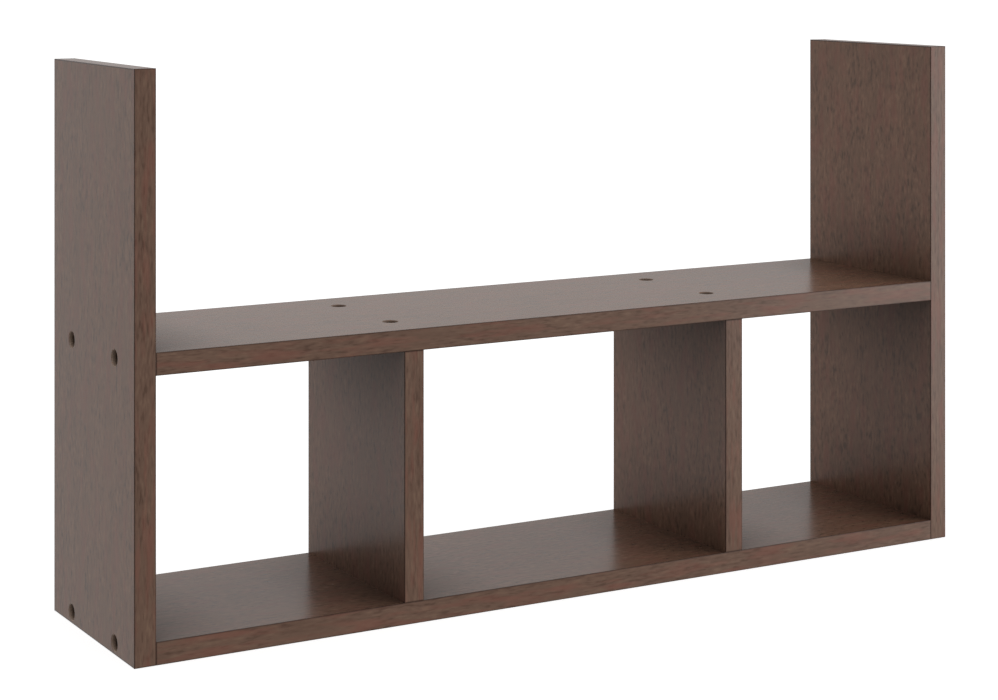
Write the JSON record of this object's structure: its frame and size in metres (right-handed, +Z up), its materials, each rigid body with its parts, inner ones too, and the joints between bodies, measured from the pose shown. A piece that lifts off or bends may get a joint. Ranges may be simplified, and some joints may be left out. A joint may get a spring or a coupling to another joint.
{
  "type": "desk hutch",
  "caption": "Open-backed desktop hutch in dark wood laminate: tall side boards, a shelf and a base between them, upright dividers that form open compartments, and sunk screws.",
  "frame": {"origin": "centre of the hutch's footprint, on the desk", "axes": "+X to the right along the shelf, seen from the front; +Y to the back; +Z up"},
  "size_m": [0.81, 0.18, 0.46],
  "materials": {
    "board_laminate": "coated board with a printed dark brown wood grain, satin",
    "edge_band": "edge band with a printed dark reddish brown wood grain, satin",
    "screw_steel": "blackened steel",
    "dowel_beech": "raw beech"
  },
  "bodies": {
    "root": {"base_back_band": "edge_band", "base_board": "board_laminate", "base_dowels": "dowel_beech", "base_front_band": "edge_band", "base_screws": "screw_steel", "left_divider_back_band": "edge_band", "left_divider_board": "board_laminate", "left_divider_front_band": "edge_band", "left_side_back_band": "edge_band", "left_side_board": "board_laminate", "left_side_bottom_band": "edge_band", "left_side_dowels": "dowel_beech", "left_side_front_band": "edge_band", "left_side_screws": "screw_steel", "left_side_top_band": "edge_band", "right_divider_back_band": "edge_band", "right_divider_board": "board_laminate", "right_divider_front_band": "edge_band", "right_side_back_band": "edge_band", "right_side_board": "board_laminate", "right_side_bottom_band": "edge_band", "right_side_dowels": "dowel_beech", "right_side_front_band": "edge_band", "right_side_screws": "screw_steel", "right_side_top_band": "edge_band", "shelf_back_band": "edge_band", "shelf_board": "board_laminate", "shelf_dowels": "dowel_beech", "shelf_front_band": "edge_band", "shelf_screws": "screw_steel"}
  },
  "joints": []
}
